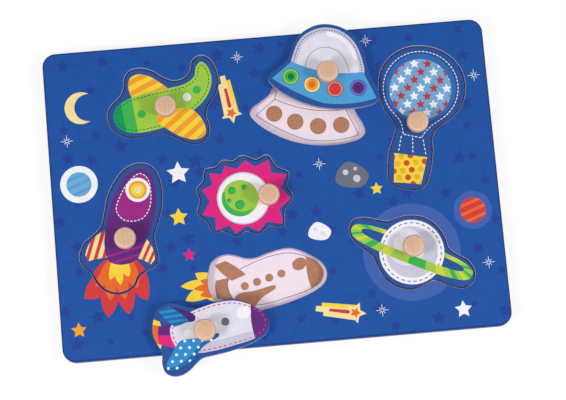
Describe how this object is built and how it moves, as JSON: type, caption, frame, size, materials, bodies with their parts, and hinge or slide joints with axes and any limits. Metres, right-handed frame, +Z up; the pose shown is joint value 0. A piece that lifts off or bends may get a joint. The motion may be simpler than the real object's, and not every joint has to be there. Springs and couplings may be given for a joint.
{
  "type": "wooden knob puzzle",
  "caption": "Rectangular wooden tray puzzle: sawn flat pieces shaped as flying things sit in matching cut-outs and lift out by turned wooden knobs.",
  "frame": {"origin": "middle of the tray's underside, on the surface that it rests on", "axes": "+X along the tray to the right, +Y away across the tray, +Z up out of the printed face"},
  "size_m": [0.3, 0.2289, 0.0283],
  "materials": {
    "board_print": "plywood, printed blue, satin varnish",
    "hardboard": "brown fibreboard with a white screen print inside the cut-outs",
    "plane_print": "printed plywood, satin varnish",
    "saucer_print": "printed plywood, satin varnish",
    "balloon_print": "printed plywood, satin varnish",
    "rocket_print": "printed plywood, satin varnish",
    "starburst_print": "printed plywood, satin varnish",
    "shuttle_print": "printed plywood, satin varnish",
    "planet_print": "printed plywood, satin varnish",
    "beech": "turned beech, clear matt lacquer",
    "screw_steel": "zinc-plated steel"
  },
  "bodies": {
    "tray": {"board_frame": "board_print", "backing_panel": "hardboard"},
    "plane": {"plane_piece": "plane_print", "plane_knob": "beech", "plane_screw": "screw_steel"},
    "saucer": {"saucer_piece": "saucer_print", "saucer_knob": "beech", "saucer_screw": "screw_steel"},
    "balloon": {"balloon_piece": "balloon_print", "balloon_knob": "beech", "balloon_screw": "screw_steel"},
    "rocket": {"rocket_piece": "rocket_print", "rocket_knob": "beech", "rocket_screw": "screw_steel"},
    "starburst": {"starburst_piece": "starburst_print", "starburst_knob": "beech", "starburst_screw": "screw_steel"},
    "shuttle": {"shuttle_piece": "shuttle_print", "shuttle_knob": "beech", "shuttle_screw": "screw_steel"},
    "planet": {"planet_piece": "planet_print", "planet_knob": "beech", "planet_screw": "screw_steel"}
  },
  "joints": [
    {"name": "plane_lift", "type": "slide", "parent": "tray", "child": "plane", "axis": [0, 0, 1], "range_m": [0, 0.04]},
    {"name": "saucer_carry", "type": "slide", "parent": "tray", "child": "saucer", "axis": [-0.2775, -0.4646, 0.8409], "range_m": [0, 0.0475]},
    {"name": "balloon_lift", "type": "slide", "parent": "tray", "child": "balloon", "axis": [0, 0, 1], "range_m": [0, 0.04]},
    {"name": "rocket_lift", "type": "slide", "parent": "tray", "child": "rocket", "axis": [0, 0, 1], "range_m": [0, 0.04]},
    {"name": "starburst_lift", "type": "slide", "parent": "tray", "child": "starburst", "axis": [0, 0, 1], "range_m": [0, 0.04]},
    {"name": "shuttle_carry", "type": "slide", "parent": "tray", "child": "shuttle", "axis": [0.6284, 0.4627, 0.6253], "range_m": [0, 0.0639]},
    {"name": "planet_lift", "type": "slide", "parent": "tray", "child": "planet", "axis": [0, 0, 1], "range_m": [0, 0.04]}
  ]
}
